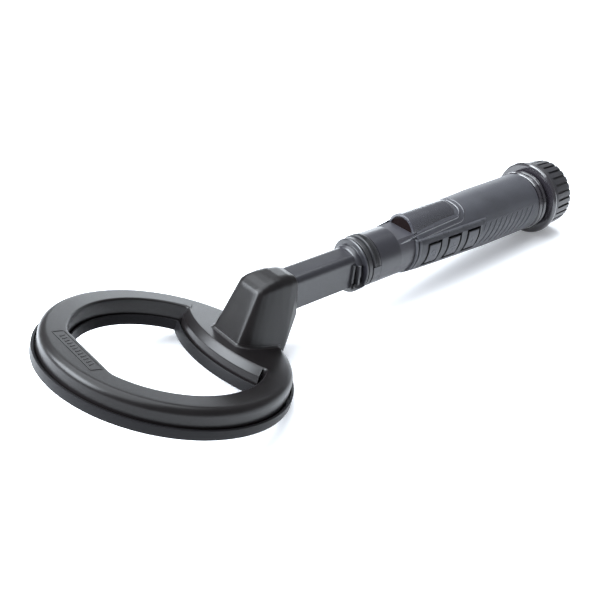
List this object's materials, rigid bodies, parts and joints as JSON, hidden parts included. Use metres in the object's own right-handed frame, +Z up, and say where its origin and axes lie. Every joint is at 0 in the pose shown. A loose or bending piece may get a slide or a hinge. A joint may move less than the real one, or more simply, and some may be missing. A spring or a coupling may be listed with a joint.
{
  "type": "metal detector",
  "caption": "Hand-held metal detector with an open ring coil, angled neck, plug-in arm with twist collar, cylindrical rubber grip, side push-buttons, signal pod and screw-on end cap",
  "frame": {"origin": "centre of the bounding box's base, on the floor the detector lies on", "axes": "+Z up; the handle runs along X with the end cap towards +X and the coil towards -X; the keypad faces -Y"},
  "size_m": [0.4426, 0.16, 0.0686],
  "materials": {
    "shell_black": "fine moulded texture",
    "cover_black": "fine moulded texture",
    "former_cream": "plain moulded",
    "copper_wire": "enamelled copper wire",
    "screw_steel": "zinc plated",
    "cable_black": "smooth jacket",
    "contact_brass": "plated",
    "seal_rubber": "smooth",
    "collar_black": "knurled",
    "pod_black": "satin",
    "window_smoke": "smoked window",
    "led_clear": "clear",
    "speaker_grey": "frame",
    "bezel_black": "fine moulded texture",
    "button_grey": "soft touch",
    "switch_white": "plain",
    "board_green": "solder mask",
    "chip_black": "plain",
    "lead_red": "smooth jacket",
    "cell_jacket": "shrink sleeve",
    "grip_rubber": "fine diagonal texture",
    "bead_gloss": "polished",
    "cap_black": "fluted"
  },
  "bodies": {
    "handle": {"front_sleeve": "shell_black", "body_shell": "shell_black", "signal_pod": "pod_black", "signal_window": "window_smoke", "signal_led": "led_clear", "speaker": "speaker_grey", "keypad_bezel": "bezel_black", "key_switches": "switch_white", "main_board": "board_green", "board_chips": "chip_black", "socket_block": "shell_black", "socket_leads": "lead_red", "battery_holder": "chip_black", "battery_cells": "cell_jacket", "battery_spring": "screw_steel", "rubber_grip": "grip_rubber", "end_beads": "bead_gloss", "cap_seal": "seal_rubber"},
    "coil_unit": {"coil_shell": "shell_black", "coil_cover": "cover_black", "winding_former": "former_cream", "coil_winding": "copper_wire", "cover_screws": "screw_steel", "arm_housing": "shell_black", "arm_screws": "screw_steel", "coil_cable": "cable_black", "plug_core": "shell_black", "plug_pins": "contact_brass", "spigot_seal": "seal_rubber"},
    "twist_collar": {"lock_ring": "collar_black", "thumb_grip": "collar_black"},
    "button_a": {"button_1": "button_grey"},
    "button_b": {"button_2": "button_grey"},
    "button_c": {"button_3": "button_grey"},
    "contact_carrier": {"contact_disc": "contact_brass", "cap_spring": "screw_steel"},
    "cap": {"end_cap": "cap_black", "cap_lip": "bead_gloss"}
  },
  "joints": [
    {"name": "arm_pull", "type": "slide", "parent": "handle", "child": "coil_unit", "axis": [-0.9977, 0, 0.0681], "range_m": [0, 0.032]},
    {"name": "collar_twist", "type": "hinge", "parent": "handle", "child": "twist_collar", "pos_m": [0.01133, 0, 0.04134], "axis": [0.9977, 0, -0.0681], "range_deg": [-28, 0]},
    {"name": "press_1", "type": "slide", "parent": "handle", "child": "button_a", "axis": [0, 1, 0], "range_m": [0, 0.0012], "stiffness_N_per_m": 1200},
    {"name": "press_2", "type": "slide", "parent": "handle", "child": "button_b", "axis": [0, 1, 0], "range_m": [0, 0.0012], "stiffness_N_per_m": 1200},
    {"name": "press_3", "type": "slide", "parent": "handle", "child": "button_c", "axis": [0, 1, 0], "range_m": [0, 0.0012], "stiffness_N_per_m": 1200},
    {"name": "cap_travel", "type": "slide", "parent": "handle", "child": "contact_carrier", "axis": [0.9977, 0, -0.0681], "range_m": [0, 0.012]},
    {"name": "cap_turn", "type": "hinge", "parent": "contact_carrier", "child": "cap", "pos_m": [0.20688, 0, 0.02799], "axis": [0.9977, 0, -0.0681], "range_deg": [0, 1080]}
  ],
  "couplings": [
    {"joint": "cap_turn", "follows": "cap_travel", "rad_per_m": 1570.8}
  ]
}
